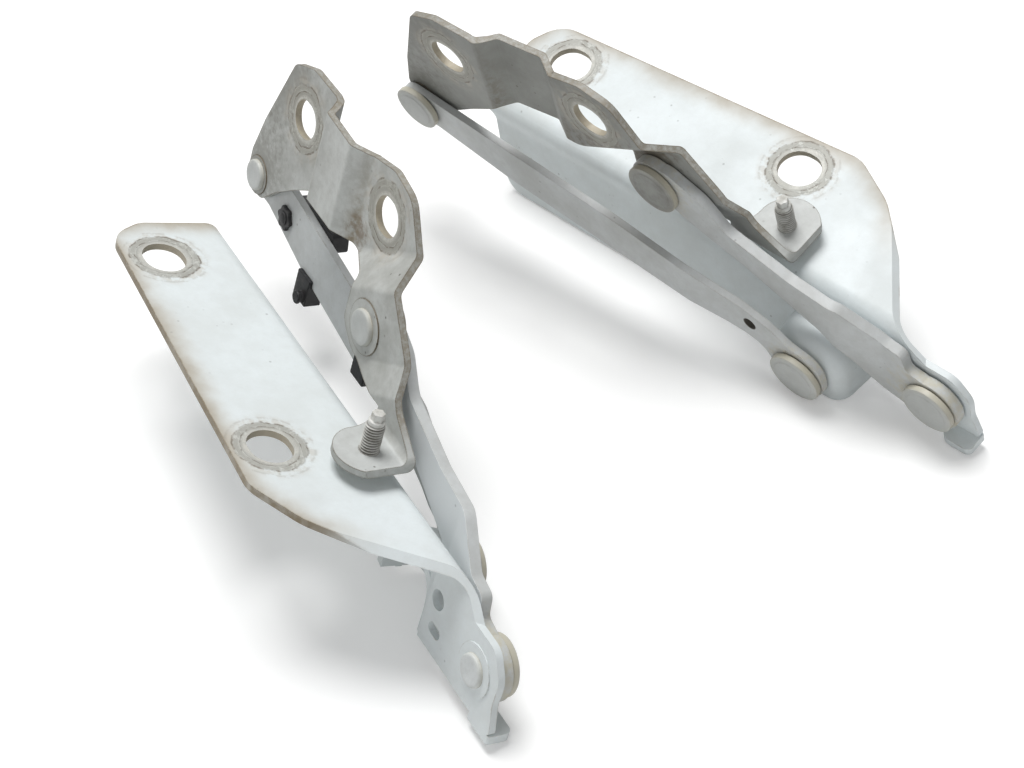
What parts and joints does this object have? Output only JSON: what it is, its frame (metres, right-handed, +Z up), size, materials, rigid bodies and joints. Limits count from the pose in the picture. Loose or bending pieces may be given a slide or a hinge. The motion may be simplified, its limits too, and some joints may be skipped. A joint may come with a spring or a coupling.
{
  "type": "bonnet hinge pair",
  "caption": "Left and right four-bar bonnet hinges in grey-white painted pressed steel, with riveted links, oblong bolt holes and stop bolts.",
  "frame": {"origin": "middle of the set's bounding box, on the floor it stands on", "axes": "X towards the bonnet tips of the brackets, Y towards the left hinge, Z up"},
  "size_m": [0.2842, 0.3148, 0.13],
  "materials": {
    "white_paint": "pale grey-white paint, scuffed at the bolt holes, grimy at cut edges",
    "grey_paint": "pale grey paint with dust",
    "dusty_paint": "dusty grey paint with rust specks",
    "cream_steel": "painted rivet heads with greasy cream rims",
    "dark_steel": "dark greasy steel",
    "bush_bronze": "sintered bronze",
    "zinc_steel": "dull zinc plate",
    "black_plastic": "matt black nylon"
  },
  "bodies": {
    "body_plates": {"left_body_plate": "white_paint", "left_main_rivet": "cream_steel", "left_main_washer": "dark_steel", "left_guide_rivet": "cream_steel", "left_guide_washer": "dark_steel", "right_body_plate": "white_paint", "right_main_rivet": "cream_steel", "right_main_washer": "dark_steel", "right_guide_rivet": "cream_steel", "right_guide_washer": "dark_steel"},
    "left_main": {"left_main_link": "grey_paint", "left_main_bush": "bush_bronze", "left_lift_bush": "bush_bronze"},
    "left_guide": {"left_guide_link": "grey_paint", "left_guide_bush": "bush_bronze", "left_button_clip": "black_plastic", "left_stub_clip": "black_plastic", "left_edge_clip": "black_plastic"},
    "left_bonnet": {"left_bonnet_bracket": "dusty_paint", "left_lift_rivet": "cream_steel", "left_lift_washer": "dark_steel", "left_tail_rivet": "cream_steel", "left_tail_washer": "dark_steel", "left_stop_bolt": "zinc_steel"},
    "right_main": {"right_main_link": "grey_paint", "right_main_bush": "bush_bronze", "right_lift_bush": "bush_bronze"},
    "right_guide": {"right_guide_link": "grey_paint", "right_guide_bush": "bush_bronze"},
    "right_bonnet": {"right_bonnet_bracket": "dusty_paint", "right_lift_rivet": "cream_steel", "right_lift_washer": "dark_steel", "right_tail_rivet": "cream_steel", "right_tail_washer": "dark_steel", "right_stop_bolt": "zinc_steel"}
  },
  "joints": [
    {"name": "left_lift", "type": "hinge", "parent": "body_plates", "child": "left_main", "pos_m": [-0.12315, 0.11728, 0.02224], "axis": [-0.1496, -0.9445, -0.2924], "range_deg": [0, 60]},
    {"name": "left_guide_turn", "type": "hinge", "parent": "body_plates", "child": "left_guide", "pos_m": [-0.07024, 0.09013, 0.01448], "axis": [-0.1496, -0.9445, -0.2924], "range_deg": [0, 55.97]},
    {"name": "left_bonnet_turn", "type": "hinge", "parent": "left_main", "child": "left_bonnet", "pos_m": [0.00468, 0.07413, 0.07911], "axis": [-0.1496, -0.9445, -0.2924], "range_deg": [-30.78, 0]},
    {"name": "right_lift", "type": "hinge", "parent": "body_plates", "child": "right_main", "pos_m": [-0.12315, -0.11728, 0.02224], "axis": [0.1496, -0.9445, 0.2924], "range_deg": [0, 60]},
    {"name": "right_guide_turn", "type": "hinge", "parent": "body_plates", "child": "right_guide", "pos_m": [-0.07024, -0.09013, 0.01448], "axis": [0.1496, -0.9445, 0.2924], "range_deg": [0, 55.97]},
    {"name": "right_bonnet_turn", "type": "hinge", "parent": "right_main", "child": "right_bonnet", "pos_m": [0.00468, -0.07413, 0.07911], "axis": [0.1496, -0.9445, 0.2924], "range_deg": [-30.78, 0]}
  ],
  "couplings": [
    {"joint": "left_guide_turn", "follows": "left_lift", "ratio": 0.9328},
    {"joint": "left_bonnet_turn", "follows": "left_lift", "ratio": -0.513},
    {"joint": "right_guide_turn", "follows": "right_lift", "ratio": 0.9328},
    {"joint": "right_bonnet_turn", "follows": "right_lift", "ratio": -0.513}
  ]
}
